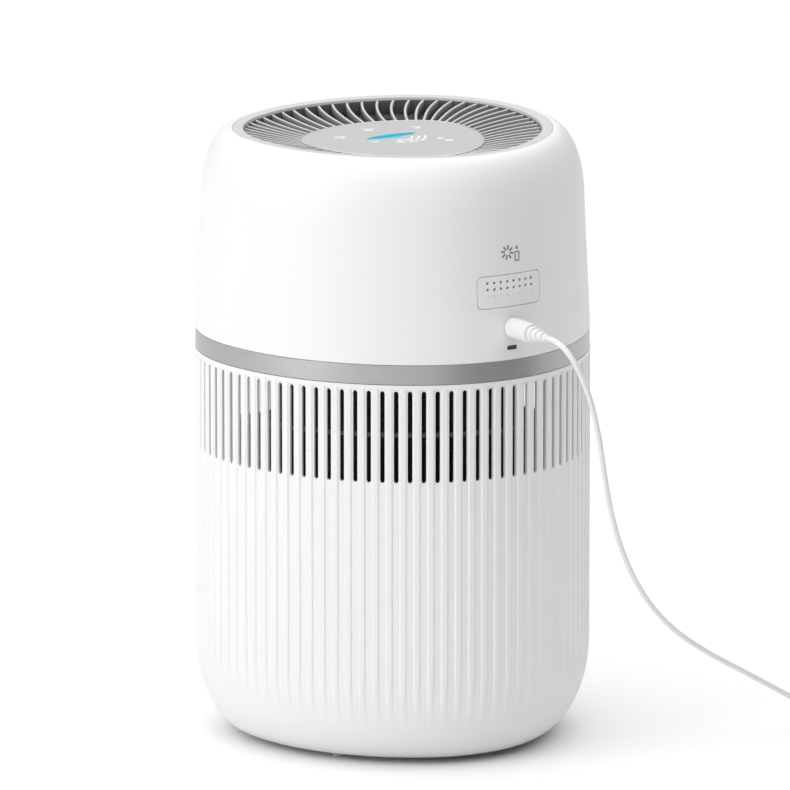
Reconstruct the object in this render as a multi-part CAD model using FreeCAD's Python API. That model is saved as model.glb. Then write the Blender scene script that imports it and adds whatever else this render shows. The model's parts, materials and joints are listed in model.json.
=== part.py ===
"""Free-standing air purifier: rounded-triangle tower, filter below, fan and outlet grille above.

Millimetres. +Z is up. The origin is at the middle of the body's box, on the surface it stands
on. +Y points at the rear corner, which holds the power inlet and the aroma drawer. Shapes are
made about the fan and filter axis, and save() moves them to their place.
"""
import FreeCAD, Part
import math
import os

from FreeCAD import Vector as V

# ---- driving dimensions ------------------------------------------------------------
WIDTH = 210.0            # the outline has this width in every direction
HEIGHT = 327.0
CORNER_SHIFT = 20.3      # centre of each outline arc, out from the axis
WALL = 2.4
R_CORNER = WIDTH / 2 - CORNER_SHIFT * math.sqrt(3) / 2    # corner arcs
R_SIDE = WIDTH / 2 + CORNER_SHIFT * math.sqrt(3) / 2      # side arcs
AXIS_Y = (R_SIDE - R_CORNER) / 2 - CORNER_SHIFT           # fan axis, from the middle of the box
CORNERS = (90.0, 210.0, 330.0)                            # directions of the corners
LUGS = (120.0, 240.0, 0.0)                                # cover lugs, when unlocked

# heights
Z_BOTTOM = 2.5           # underside of the lower housing; the feet reach 0
Z_BASE_ROUND = 52.5      # top of the bottom rounding
Z_BAND = 209.5           # underside of the metal band
BAND_HEIGHT = 10.9
Z_UPPER = Z_BAND + BAND_HEIGHT
Z_TOP_ROUND = 290.0      # bottom of the top rounding
Z_NECK = (207.5, 222.0)  # inner collar that joins the two housings
Z_DISC = 320.4           # top of the control panel, below the rim

# insets from the widest outline
TOP_DRAFT = 3.3          # the upper housing leans in this much up to its rounding
RIM_INSET = 19.3
OPENING_INSET = 26.0     # outlet opening
FOOT_INSET = 27.0        # edge of the flat underside
DISC_INSET = 56.5

# intake slots
SLOT_COUNT = 90
SLOT_WIDTH = 2.3
SLOT_Z = (156.8, 206.2)

# outlet grille
VANE_COUNT = 60
VANE_THICK = 1.3
VANE_SWIRL = 5.0         # degrees between a vane's outer and inner end

# fan
FAN_R = 64.0
DUCT_R = 70.0
SHAFT_R = 2.5
BLADE_COUNT = 11
Z_PLATE = 222.0          # inlet plate of the fan
INLET_R = 44.0

# filter and its cover
FILTER_R = 64.0
Z_FILTER = (14.0, 219.0)
PLEATS = 64
COVER_R = 65.8
COVER_GAP = 0.5
LUG_SPAN = 22.0
LUG_R = 69.2

# rear corner
Z_JACK = 237.6
Z_PILL = 226.8
Z_DRAWER = 257.2
DRAWER_SIZE = (39.4, 17.0)
DRAWER_GAP = 0.4
DOT_ROWS = 3
DOT_COLUMNS = 8

# power cord, and its route from the plug to the coil
CORD_R = 1.5
PLUG_END = 139.5
ROUTE = [
    (0.0, 139.5, 237.6), (0.0, 150.0, 237.6), (-3.0, 159.5, 229.5), (-9.0, 164.5, 212.5),
    (-15.5, 164.5, 190.0), (-21.5, 161.5, 165.0), (-30.0, 156.5, 140.0), (-41.5, 151.5, 116.0),
    (-57.0, 146.5, 93.0), (-78.0, 141.0, 72.0), (-104.0, 136.0, 54.5), (-132.0, 132.0, 39.0),
    (-159.0, 129.5, 23.5), (-184.0, 129.0, 9.0), (-203.0, 130.8, 1.7), (-219.0, 134.2, 1.6),
]
COIL_CENTRE = (-222.5, 155.0)
COIL_R = (11.7, 21.3)
COIL_HEIGHT = 9.6
TAIL = [(-226.0, 136.5, 7.8), (-238.0, 136.4, 9.2), (-250.0, 137.5, 12.4), (-262.0, 138.5, 14.0)]
ADAPTER = (62.0, 40.0, 28.0)
ADAPTER_CENTRE = (-304.0, 138.5)


# ---- outline and shell tools -------------------------------------------------------
def polar(radius, degrees, z=0.0):
    angle = math.radians(degrees)
    return V(radius * math.cos(angle), radius * math.sin(angle), z)


def arcs():
    """The outline's six arcs in order: (centre, radius, first angle). Each spans 60 degrees."""
    found = []
    for i, corner in enumerate(CORNERS):
        opposite = CORNERS[(i + 2) % 3]
        found.append((polar(CORNER_SHIFT, corner), R_CORNER, corner - 30))
        found.append((polar(CORNER_SHIFT, opposite), R_SIDE, opposite + 150))
    return found


def outline(inset, z):
    """Closed wire of the outline, moved inwards by inset."""
    edges = []
    for centre, radius, start in arcs():
        circle = Part.Circle(centre + V(0, 0, z), V(0, 0, 1), radius - inset)
        edges.append(Part.Arc(circle, math.radians(start), math.radians(start + 60)).toShape())
    return Part.Wire(edges)


def plate(inset, z0, z1):
    return Part.Face(outline(inset, z0)).extrude(V(0, 0, z1 - z0))


def station(fraction, inset):
    """Point and outward angle at a fraction of the way round, starting 30 before the rear corner."""
    total = sum(radius - inset for _, radius, _ in arcs())
    left = (fraction % 1.0) * total
    for centre, radius, start in arcs():
        if left <= radius - inset:
            angle = start + 60 * left / (radius - inset)
            return centre + polar(radius - inset, angle), angle
        left -= radius - inset
    return station(0.0, inset)


def line(a, b):
    return Part.LineSegment(V(a[0], 0, a[1]), V(b[0], 0, b[1])).toShape()


def quarter(centre, a, b, first, last):
    """Part of an upright ellipse with half axes a (across) and b (up)."""
    if a >= b:
        ellipse = Part.Ellipse(V(centre[0] + a, 0, centre[1]), V(centre[0], 0, centre[1] + b),
                               V(centre[0], 0, centre[1]))
        turn = 0
    else:
        ellipse = Part.Ellipse(V(centre[0], 0, centre[1] + b), V(centre[0] - a, 0, centre[1]),
                               V(centre[0], 0, centre[1]))
        turn = -90
    return Part.Arc(ellipse, math.radians(first + turn), math.radians(last + turn)).toShape()


def shell(profile):
    """Six revolved sectors that follow the outline. profile(radius) gives edges in the XZ plane."""
    sectors = []
    for centre, radius, start in arcs():
        face = Part.Face(Part.Wire(Part.__sortEdges__(profile(radius))))
        sector = face.revolve(V(0, 0, 0), V(0, 0, 1), 60)
        sector.rotate(V(0, 0, 0), V(0, 0, 1), start)
        sector.translate(centre)
        sectors.append(sector)
    return sectors[0].multiFuse(sectors[1:]).removeSplitter()


def band(inset_out, inset_in, z0, z1):
    """Ring of constant section between two insets."""
    return plate(inset_out, z0, z1).cut(plate(inset_in, z0 - 1, z1 + 1))


def tube(r_in, r_out, z0, z1, at=(0, 0)):
    outer = Part.makeCylinder(r_out, z1 - z0, V(at[0], at[1], z0))
    if r_in <= 0:
        return outer
    return outer.cut(Part.makeCylinder(r_in, z1 - z0 + 2, V(at[0], at[1], z0 - 1)))


def block(size, centre):
    corner = V(centre[0] - size[0] / 2, centre[1] - size[1] / 2, centre[2] - size[2] / 2)
    return Part.makeBox(size[0], size[1], size[2], corner)


def rod(radius, start, end):
    axis = V(*end) - V(*start)
    return Part.makeCylinder(radius, axis.Length, V(*start), axis)


def wedge(r_in, r_out, z0, z1, first, last):
    """Sector of a ring between two angles."""
    face = Part.Face(Part.makePolygon([V(r_in, 0, z0), V(r_out, 0, z0), V(r_out, 0, z1),
                                       V(r_in, 0, z1), V(r_in, 0, z0)]))
    sector = face.revolve(V(0, 0, 0), V(0, 0, 1), last - first)
    sector.rotate(V(0, 0, 0), V(0, 0, 1), first)
    return sector


def ring_of(shape, count, first=0.0):
    copies = []
    for i in range(count):
        copy = shape.copy()
        copy.rotate(V(0, 0, 0), V(0, 0, 1), first + 360.0 * i / count)
        copies.append(copy)
    return copies


def fuse(shapes):
    return shapes[0].multiFuse(shapes[1:]).removeSplitter()


def save(name, shape):
    shape.translate(V(0, AXIS_Y, 0))
    if not shape.isValid():
        print("not valid:", name)
    shape.exportStep("parts/" + name + ".step")
    print(f"{name:24s} {len(shape.Solids):3d} solids {shape.Volume / 1000:9.2f} cm3")


# ---- housings ----------------------------------------------------------------------
def upper_profile(radius):
    x_crest = radius - RIM_INSET
    x_lip = radius - OPENING_INSET
    a_out = RIM_INSET - TOP_DRAFT
    rise = HEIGHT - Z_TOP_ROUND
    low = Z_UPPER
    return [
        line((radius, low), (radius - TOP_DRAFT, Z_TOP_ROUND)),
        quarter((x_crest, Z_TOP_ROUND), a_out, rise, 0, 90),
        line((x_crest, HEIGHT), (x_lip + 1.0, HEIGHT)),
        Part.Arc(V(x_lip + 1.0, 0, HEIGHT), V(x_lip + 0.29, 0, HEIGHT - 0.29),
                 V(x_lip, 0, HEIGHT - 1.0)).toShape(),
        line((x_lip, HEIGHT - 1.0), (x_lip, HEIGHT - 12.0)),
        line((x_lip, HEIGHT - 12.0), (x_lip + WALL, HEIGHT - 12.0)),
        line((x_lip + WALL, HEIGHT - 12.0), (x_lip + WALL, HEIGHT - WALL)),
        line((x_lip + WALL, HEIGHT - WALL), (x_crest, HEIGHT - WALL)),
        quarter((x_crest, Z_TOP_ROUND), a_out - WALL, rise - WALL, 0, 90),
        line((radius - TOP_DRAFT - WALL, Z_TOP_ROUND), (radius - WALL, low)),
        line((radius - WALL, low), (radius, low)),
    ]


def drawer_opening(grow):
    """Rounded bar along +Y through the rear corner, grown on every side."""
    width = DRAWER_SIZE[0] + 2 * grow
    height = DRAWER_SIZE[1] + 2 * grow
    bar = block((width, 40, height), (0, 105, Z_DRAWER))
    upright = [e for e in bar.Edges if abs(e.tangentAt(e.FirstParameter).y) > 0.99]
    return bar.makeFillet(2.6, upright)


def upper_housing(body):
    cuts = [
        drawer_opening(DRAWER_GAP),
        rod(5.3, (0, 90, Z_JACK), (0, 115, Z_JACK)),
        pill(0.05),
    ]
    return body.cut(Part.makeCompound(cuts))


def pill(grow):
    """Small upright-ended slot for the air sensor, running through the rear corner."""
    half = 2.0
    radius = 1.15 + grow
    ends = [rod(radius, (x, 100, Z_PILL), (x, 112, Z_PILL)) for x in (-half, half)]
    middle = block((2 * half, 12, 2 * radius), (0, 106, Z_PILL))
    return fuse(ends + [middle])


def lower_profile(radius):
    x_foot = radius - FOOT_INSET
    rise = Z_BASE_ROUND - Z_BOTTOM
    return [
        line((radius, Z_BAND), (radius, Z_BASE_ROUND)),
        quarter((x_foot, Z_BASE_ROUND), FOOT_INSET, rise, -90, 0),
        line((x_foot, Z_BOTTOM), (x_foot - 1.0, Z_BOTTOM)),
        line((x_foot - 1.0, Z_BOTTOM), (x_foot - 1.0, Z_BOTTOM + WALL)),
        line((x_foot - 1.0, Z_BOTTOM + WALL), (x_foot, Z_BOTTOM + WALL)),
        quarter((x_foot, Z_BASE_ROUND), FOOT_INSET - WALL, rise - WALL, -90, 0),
        line((radius - WALL, Z_BASE_ROUND), (radius - WALL, Z_BAND)),
        line((radius - WALL, Z_BAND), (radius, Z_BAND)),
    ]


def slot_tools():
    """One rounded slot cutter for each intake slot, square to the wall."""
    tools = []
    low, high = SLOT_Z
    half = SLOT_WIDTH / 2
    reach = 12.0
    for i in range(SLOT_COUNT):
        point, angle = station((i + 0.5) / SLOT_COUNT, 0)
        sides = [
            Part.LineSegment(V(0, -half, low + half), V(0, -half, high - half)).toShape(),
            Part.Arc(V(0, -half, high - half), V(0, 0, high), V(0, half, high - half)).toShape(),
            Part.LineSegment(V(0, half, high - half), V(0, half, low + half)).toShape(),
            Part.Arc(V(0, half, low + half), V(0, 0, low), V(0, -half, low + half)).toShape(),
        ]
        tool = Part.Face(Part.Wire(sides)).extrude(V(reach, 0, 0))
        tool.translate(V(-reach / 2 - 1, 0, 0))
        tool.rotate(V(0, 0, 0), V(0, 0, 1), angle)
        tool.translate(V(point.x, point.y, 0))
        tools.append(tool)
    return tools


def screw_places():
    return [polar(WIDTH / 2 - 12.5, corner + 60) for corner in CORNERS]


def lower_housing():
    wall = shell(lower_profile)
    floor = plate(FOOT_INSET + 0.5, Z_BOTTOM, Z_BOTTOM + WALL + 0.4)
    hole = tube(0, COVER_R + COVER_GAP, 0, 10)
    notches = [wedge(COVER_R - 1, LUG_R + 0.6, 0, 10, mid - LUG_SPAN / 2 - 1.5,
                     mid + LUG_SPAN / 2 + 1.5) for mid in LUGS]
    floor = floor.cut(Part.makeCompound([hole] + notches))
    neck = band(WALL + 0.2, 4.8, Z_NECK[0], Z_NECK[1])
    root = band(WALL - 0.2, 4.8, Z_NECK[0], Z_BAND)
    bosses = [tube(1.3, 3.6, Z_NECK[1] - 14, Z_NECK[1], (p.x, p.y)) for p in screw_places()]
    rib = block((5, 3, 14), (WIDTH / 2 - 8.6, 0, Z_NECK[1] - 7))
    ribs = ring_of(rib, 3, CORNERS[0] + 60)
    body = fuse([wall, floor, neck, root] + bosses + ribs)
    return body.cut(Part.makeCompound(slot_tools()))


def trim_band():
    return band(0.3, WALL - 0.3, Z_BAND + 0.1, Z_UPPER - 0.1)


def slot_hoop():
    return band(WALL, WALL + 2.0, 181.2, 183.4)


def rubber_feet():
    feet = []
    for i in range(6):
        p = polar(70.9, 30 + 60 * i)
        feet.append(tube(0, 3.9, 0, Z_BOTTOM, (p.x, p.y)))
    return Part.makeCompound(feet)


# ---- outlet and control panel ------------------------------------------------------
def outlet_grille():
    z_out, z_in, tall = HEIGHT - 1.4, HEIGHT - 8.2, 7.0
    outer = band(OPENING_INSET + 0.2, OPENING_INSET + 1.8, z_out - tall, z_out)
    inner = band(DISC_INSET - 6.0, DISC_INSET + 2.4, z_in - tall, z_in - tall + 2.0)
    vanes = []
    for i in range(VANE_COUNT):
        start, _ = station(i / VANE_COUNT, OPENING_INSET + 1.2)
        end, _ = station(i / VANE_COUNT + VANE_SWIRL / 360, DISC_INSET + 1.0)
        run = end - start
        side = V(-run.y, run.x, 0).normalize() * VANE_THICK
        low = start - side * 0.5
        corners = [V(low.x, low.y, z_out - tall), V(low.x, low.y, z_out)]
        far = end - side * 0.5
        corners += [V(far.x, far.y, z_in), V(far.x, far.y, z_in - tall)]
        vanes.append(Part.Face(Part.makePolygon(corners + corners[:1])).extrude(side))
    blank = plate(DISC_INSET - 1.1, Z_DISC - 3.2, HEIGHT)
    return fuse([outer, inner] + vanes).cut(blank)


def panel_cup():
    wall = band(DISC_INSET + 2.4, DISC_INSET + 4.2, 299.0, Z_DISC - 3.2)
    return fuse([wall, plate(DISC_INSET + 4.0, 299.0, 301.0)])


def light_bar(grow):
    """Leaf-shaped lens lying across the panel, in front of its middle."""
    half_length, half_width = 16.0 + grow, 4.8 + grow
    tips = V(-half_length, 0, 0), V(half_length, 0, 0)
    edges = [Part.Arc(tips[0], V(0, half_width, 0), tips[1]).toShape(),
             Part.Arc(tips[1], V(0, -half_width, 0), tips[0]).toShape()]
    bar = Part.Face(Part.Wire(edges)).extrude(V(0, 0, 2.8))
    bar.translate(V(-1.0, -7.8, Z_DISC - 2.8))
    return bar


def touch_marks():
    """Generic printed rings of the touch keys, and dots for the fan's speeds."""
    places = [(24, -19, 2.6), (0, -28, 2.6), (-24, -19, 2.6), (14.5, 1, 1.2), (-19, 12, 1.8)]
    places += [(-18 + 6 * i, 19 - abs(i - 3), 0.8) for i in range(7)]
    return Part.makeCompound([tube(r - 0.5, r, Z_DISC, Z_DISC + 0.15, (x, y))
                              for x, y, r in places])


def control_panel():
    disc = plate(DISC_INSET, Z_DISC - 2.8, Z_DISC)
    return disc.cut(light_bar(0.05))


def panel_trim():
    return band(DISC_INSET - 0.9, DISC_INSET, Z_DISC - 3.0, Z_DISC + 0.4)


def touch_board():
    board = tube(0, 34, 305, 306.6)
    posts = [tube(0, 2, 301, 305, polar(28, a)[:2]) for a in (30, 150, 270)]
    chips = [block((9, 9, 1.2), (-6, -8, 307.2)), block((22, 3, 1.0), (0, 8, 307.1))]
    return fuse([board] + posts + chips)


def light_guide():
    """Diffuser block under the lens."""
    return block((34, 11, 4), (-1.0, -7.8, Z_DISC - 5.0))


# ---- fan ---------------------------------------------------------------------------
def fan_plate():
    body = plate(WALL + 0.5, Z_PLATE, Z_PLATE + WALL)
    lip = tube(INLET_R, INLET_R + 2, Z_PLATE, Z_PLATE + 8)
    holes = [tube(0, INLET_R, Z_PLATE - 1, Z_PLATE + 4)]
    holes += [tube(0, 1.6, Z_PLATE - 1, Z_PLATE + 4, (p.x, p.y)) for p in screw_places()]
    return fuse([body.cut(Part.makeCompound(holes)), lip])


def fan_guard():
    rings = [tube(r, r + 1.4, Z_PLATE - 2.4, Z_PLATE - 1.0) for r in (8, 17, 26, 35)]
    rim = tube(INLET_R - 1, INLET_R + 4, Z_PLATE - 2.4, Z_PLATE)
    spokes = ring_of(block((INLET_R - 8, 1.4, 1.4), (INLET_R / 2 + 4, 0, Z_PLATE - 1.7)), 6)
    return fuse(rings + [rim] + spokes)


def fan_duct():
    wall = tube(DUCT_R, DUCT_R + WALL, Z_PLATE + WALL, 296)
    flange = tube(DUCT_R, DUCT_R + 6, Z_PLATE + WALL, Z_PLATE + 2 * WALL)
    return fuse([wall, flange])


def impeller():
    lower = tube(47, FAN_R, 232, 233.6)
    upper = tube(9, FAN_R, 266, 268)
    hub = tube(SHAFT_R, 10, 252, 268)
    chord = 30.0
    blade = Part.makeBox(chord, 1.4, 32.8, V(-chord / 2, -0.7, 233.4))
    blade.rotate(V(0, 0, 0), V(0, 0, 1), -42)
    blade.translate(V(51, 0, 0))
    return fuse([lower, upper, hub] + ring_of(blade, BLADE_COUNT))


def fan_shaft():
    return tube(0, SHAFT_R, 246, 283)


def hub_nut():
    points = [polar(4.6, 60 * i, 248) for i in range(7)]
    nut = Part.Face(Part.makePolygon(points)).extrude(V(0, 0, 4))
    return nut.cut(tube(0, SHAFT_R, 240, 260))


def motor_can():
    can = tube(0, 24, 269.5, 284)
    bearing_seats = [tube(0, 8, 269, 274.5), tube(0, 8, 279.5, 285)]
    through = tube(0, 5, 269, 285)
    screws = [tube(0, 1.5, 277, 285, polar(17, a)[:2]) for a in (30, 150, 270)]
    return can.cut(Part.makeCompound(bearing_seats + [through] + screws))


def motor_bearing(z0):
    return tube(SHAFT_R + 0.05, 8, z0, z0 + 4.5)


def motor_mount():
    hub = tube(12, 27, 284, 287)
    holes = [tube(0, 1.5, 283, 288, polar(17, a)[:2]) for a in (30, 150, 270)]
    rim = tube(DUCT_R - 2, DUCT_R, 280, 292)
    arm = block((DUCT_R - 27, 2, 12), ((DUCT_R + 25) / 2, 0, 286))
    arms = ring_of(arm, 7)
    trim = tube(0, 25, 275, 284)
    return fuse([hub.cut(Part.makeCompound(holes)), rim] + arms).cut(trim)


def motor_screws():
    screws = []
    for angle in (30, 150, 270):
        at = polar(17, angle)[:2]
        screws.append(fuse([tube(0, 1.5, 277, 287, at), tube(0, 2.8, 287, 289.4, at)]))
    return Part.makeCompound(screws)


def housing_screws():
    screws = []
    top = Z_PLATE + WALL
    for p in screw_places():
        at = (p.x, p.y)
        screws.append(fuse([tube(0, 1.3, top - 13, top, at), tube(0, 3.0, top, top + 2.2, at)]))
    return Part.makeCompound(screws)


# ---- filter cartridge --------------------------------------------------------------
def pleated_filter():
    """Pleated paper: a zigzag wall closed on itself."""
    low, high = Z_FILTER[0] + 4, Z_FILTER[1] - 4
    thick = 1.3
    rims = []
    for shift in (0, -thick):
        points = []
        for i in range(2 * PLEATS):
            radius = (FILTER_R - 1.6 if i % 2 else 45.5) + shift
            points.append(polar(radius, 180.0 * i / PLEATS, low))
        rims.append(Part.Face(Part.makePolygon(points + points[:1])))
    return rims[0].cut(rims[1]).extrude(V(0, 0, high - low))


def carbon_core():
    return tube(39, 43.5, Z_FILTER[0] + 4, Z_FILTER[1] - 4)


def prefilter_mesh():
    return tube(FILTER_R - 1.4, FILTER_R - 0.6, Z_FILTER[0] + 4, Z_FILTER[1] - 4)


def filter_top_cap():
    return tube(36, FILTER_R, Z_FILTER[1] - 4, Z_FILTER[1])


def filter_bottom_cap():
    return tube(0, FILTER_R, Z_FILTER[0], Z_FILTER[0] + 4)


def filter_seal():
    return tube(50, 60, Z_FILTER[1], Z_PLATE - 0.3)


# ---- base cover --------------------------------------------------------------------
def base_cover():
    disc = tube(0, COVER_R, Z_BOTTOM, Z_BOTTOM + 2.5)
    rim = tube(COVER_R - 2.4, COVER_R, Z_BOTTOM, 12)
    lugs = [wedge(COVER_R - 1, LUG_R, Z_BOTTOM + WALL + 0.9, Z_BOTTOM + WALL + 3.4,
                  mid - LUG_SPAN / 2, mid + LUG_SPAN / 2) for mid in LUGS]
    pockets = [block((44, 18, 9.0), (0, y, Z_BOTTOM + 4.5)) for y in (-15, 15)]
    hollows = [block((40, 14, 9.6), (0, y, Z_BOTTOM + 2.2)) for y in (-15, 15)]
    body = fuse([disc, rim] + lugs + pockets)
    return body.cut(Part.makeCompound(hollows))


# ---- electronics -------------------------------------------------------------------
def at_board(shape):
    """Turns a shape made facing +Y into the left corner of the upper housing."""
    shape.rotate(V(0, 0, 0), V(0, 0, 1), CORNERS[1] - 90)
    return shape


def main_board():
    return at_board(block((56, 1.6, 38), (0, 80, 251)))


def board_parts():
    shapes = [
        rod(6, (-16, 80.8, 243), (-16, 94, 243)),
        rod(4, (-3, 80.8, 242), (-3, 91, 242)),
        block((10, 2, 10), (12, 81.8, 256)),
        block((14, 8, 7), (-14, 84.8, 263)),
        block((18, 9, 6), (14, 85.3, 240)),
    ]
    return at_board(Part.makeCompound(shapes))


def board_clips():
    clips = [block((6, 5, 8), (x, 81.0, 228.4)) for x in (-20, 20)]
    slot = block((60, 1.6, 10), (0, 80, 236))
    return at_board(Part.makeCompound([clip.cut(slot) for clip in clips]))


def dc_jack():
    body = block((11, 11, 11), (0, 96.5, Z_JACK))
    nose = rod(5.2, (0, 102, Z_JACK), (0, 106.4, Z_JACK))
    bore = rod(3.2, (0, 96, Z_JACK), (0, 110, Z_JACK))
    return fuse([body, nose]).cut(bore)


def wire_harness():
    """Pair of wires clipped round the duct, from the inlet to the main board."""
    ring = Part.makeTorus(80, 1.4, V(0, 0, 240), V(0, 0, 1), -180, 180, 78)
    ring.rotate(V(0, 0, 0), V(0, 0, 1), 97)
    return ring


def sensor_window():
    return pill(0.0).common(plate(0.6, 220, 232)).cut(plate(WALL + 1.5, 219, 233))


def sensor_board():
    return block((16, 1.4, 5.6), (0, 101.2, 228.2))


# ---- aroma drawer ------------------------------------------------------------------
def aroma_drawer(body):
    width = 33.0
    front = body.common(drawer_opening(0))
    tray = block((width, 23.6, 12), (0, 91.6, Z_DRAWER))
    hollow = block((width - 3, 20.2, 12), (0, 91.3, Z_DRAWER + 1.5))
    tray = tray.cut(hollow)
    dots = []
    pitch = 27.6 / (DOT_COLUMNS - 1)
    for row in range(DOT_ROWS):
        for column in range(DOT_COLUMNS):
            x = (column - (DOT_COLUMNS - 1) / 2) * pitch
            z = Z_DRAWER + 4.9 - 3.45 * row
            depth = 99.0 if row < 2 else 106.0
            dots.append(rod(0.6, (x, depth, z), (x, 112, z)))
    return fuse([front, tray]).cut(Part.makeCompound(dots))


def aroma_pad():
    return block((29, 19.2, 4.5), (0, 91.3, Z_DRAWER - 2.2))


def aroma_sleeve():
    outer = block((36, 24.0, 14.6), (0, 87.3, Z_DRAWER))
    inner = block((33.8, 30, 12.8), (0, 92.0, Z_DRAWER))
    latch_room = block((9, 4, 9), (0, 76, Z_DRAWER))
    return outer.cut(inner).cut(latch_room)


def push_latch():
    return block((8.6, 3.2, 8.6), (0, 75.8, Z_DRAWER))


# ---- power cord --------------------------------------------------------------------
def cord_tube(points, radius, name):
    """Tube along straight runs joined by tangent arcs. Prints its radii."""
    route = [V(*p) for p in points]
    edges = []
    start = route[0]
    radii = []
    for before, corner, after in zip(route, route[1:], route[2:]):
        back, ahead = (before - corner), (after - corner)
        half_turn = (math.pi - back.getAngle(ahead)) / 2
        cut = 0.45 * min(back.Length, ahead.Length)
        radii.append(cut / math.tan(half_turn))
        back.normalize()
        ahead.normalize()
        first, last = corner + back * cut, corner + ahead * cut
        inwards = (back + ahead).normalize()
        bend = radii[-1]
        middle = corner + inwards * (bend / math.cos(half_turn) - bend)
        edges.append(Part.LineSegment(start, first).toShape())
        edges.append(Part.Arc(first, middle, last).toShape())
        start = last
    edges.append(Part.LineSegment(start, route[-1]).toShape())
    path = Part.Wire(edges)
    section = Part.Wire(Part.makeCircle(radius, route[0], route[1] - route[0]))
    solid = path.makePipeShell([section], True, False)
    whole = math.pi * radius ** 2 * path.Length
    print(f"{name}: length {path.Length:.1f}, volume ratio {solid.Volume / whole:.4f}, radii",
          " ".join(f"{r:.0f}" for r in radii))
    return solid


def dc_plug():
    grip = Part.makeCone(5.4, 4.9, 17.6, V(0, 107.4, Z_JACK), V(0, 1, 0))
    relief = []
    y = 125.0
    for radius in (4.1, 3.5, 2.9):
        relief.append(rod(radius, (0, y + 1.2, Z_JACK), (0, y + 4.0, Z_JACK)))
        relief.append(rod(radius - 1.0, (0, y, Z_JACK), (0, y + 1.2, Z_JACK)))
        y += 4.0
    relief.append(rod(2.1, (0, y, Z_JACK), (0, PLUG_END, Z_JACK)))
    return fuse([grip] + relief)


def plug_barrel():
    return rod(2.75, (0, 98.0, Z_JACK), (0, 107.4, Z_JACK))


def cord_coil():
    return tube(COIL_R[0], COIL_R[1], 0.1, COIL_HEIGHT, COIL_CENTRE)


def cord_tie():
    ring = tube(COIL_R[0] - 1.2, COIL_R[1] + 1.2, 0.1, COIL_HEIGHT + 1.1, COIL_CENTRE)
    side = block((30, 7, 30), (COIL_CENTRE[0] + 18, COIL_CENTRE[1], 5))
    return ring.common(side).cut(cord_coil())


def power_adapter():
    x, y = ADAPTER_CENTRE
    body = block(ADAPTER, (x, y, ADAPTER[2] / 2))
    body = body.makeFillet(3.0, body.Edges)
    neck = Part.makeCone(4.2, 2.4, 11.2, V(x + ADAPTER[0] / 2 - 0.2, y, 14), V(1, 0, 0))
    return fuse([body, neck])


def adapter_blades():
    x, y = ADAPTER_CENTRE
    edge = x - ADAPTER[0] / 2
    blades = [block((17, 1.5, 6.3), (edge - 8.5, y + s * 6.35, 14)) for s in (-1, 1)]
    return Part.makeCompound(blades)


def main():
    os.makedirs("parts", exist_ok=True)
    save("upper_housing", upper_housing(shell(upper_profile)))
    save("lower_housing", lower_housing())
    save("trim_band", trim_band())
    save("slot_hoop", slot_hoop())
    save("rubber_feet", rubber_feet())
    save("outlet_grille", outlet_grille())
    save("panel_cup", panel_cup())
    save("control_panel", control_panel())
    save("panel_trim", panel_trim())
    save("light_bar", light_bar(0))
    save("light_guide", light_guide())
    save("touch_marks", touch_marks())
    save("touch_board", touch_board())
    save("fan_plate", fan_plate())
    save("fan_guard", fan_guard())
    save("fan_duct", fan_duct())
    save("impeller", impeller())
    save("fan_shaft", fan_shaft())
    save("hub_nut", hub_nut())
    save("motor_can", motor_can())
    save("motor_bearing_lower", motor_bearing(270.0))
    save("motor_bearing_upper", motor_bearing(279.5))
    save("motor_mount", motor_mount())
    save("motor_screws", motor_screws())
    save("housing_screws", housing_screws())
    save("pleated_filter", pleated_filter())
    save("carbon_core", carbon_core())
    save("prefilter_mesh", prefilter_mesh())
    save("filter_top_cap", filter_top_cap())
    save("filter_bottom_cap", filter_bottom_cap())
    save("filter_seal", filter_seal())
    save("base_cover", base_cover())
    save("main_board", main_board())
    save("board_parts", board_parts())
    save("board_clips", board_clips())
    save("dc_jack", dc_jack())
    save("wire_harness", wire_harness())
    save("sensor_window", sensor_window())
    save("sensor_board", sensor_board())
    save("aroma_drawer", aroma_drawer(shell(upper_profile)))
    save("aroma_pad", aroma_pad())
    save("aroma_sleeve", aroma_sleeve())
    save("push_latch", push_latch())
    save("dc_plug", dc_plug())
    save("plug_barrel", plug_barrel())
    save("power_cord", cord_tube(ROUTE, CORD_R, "power_cord"))
    save("cord_coil", cord_coil())
    save("cord_tie", cord_tie())
    save("power_cord_tail", cord_tube(TAIL, CORD_R, "power_cord_tail"))
    save("power_adapter", power_adapter())
    save("adapter_blades", adapter_blades())


main()
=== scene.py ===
"""Looks of the tower air purifier, in metres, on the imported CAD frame."""
import json
import math

import bmesh
import bpy
from mathutils import Matrix, Vector


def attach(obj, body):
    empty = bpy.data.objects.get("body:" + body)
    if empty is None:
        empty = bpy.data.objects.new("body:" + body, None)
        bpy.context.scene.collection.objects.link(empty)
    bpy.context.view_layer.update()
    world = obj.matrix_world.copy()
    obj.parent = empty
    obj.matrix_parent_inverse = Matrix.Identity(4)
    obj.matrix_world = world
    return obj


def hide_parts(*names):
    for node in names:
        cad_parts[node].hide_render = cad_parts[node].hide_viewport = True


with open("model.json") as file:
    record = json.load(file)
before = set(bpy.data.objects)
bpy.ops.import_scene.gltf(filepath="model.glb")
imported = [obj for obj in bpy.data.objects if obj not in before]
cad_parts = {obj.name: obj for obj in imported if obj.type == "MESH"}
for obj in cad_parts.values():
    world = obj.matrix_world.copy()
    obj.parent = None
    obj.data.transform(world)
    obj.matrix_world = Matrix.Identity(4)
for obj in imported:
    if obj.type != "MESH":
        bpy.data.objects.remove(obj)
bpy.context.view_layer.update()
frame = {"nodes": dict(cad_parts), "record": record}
NODES = frame["nodes"]

MM = 0.001
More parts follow.
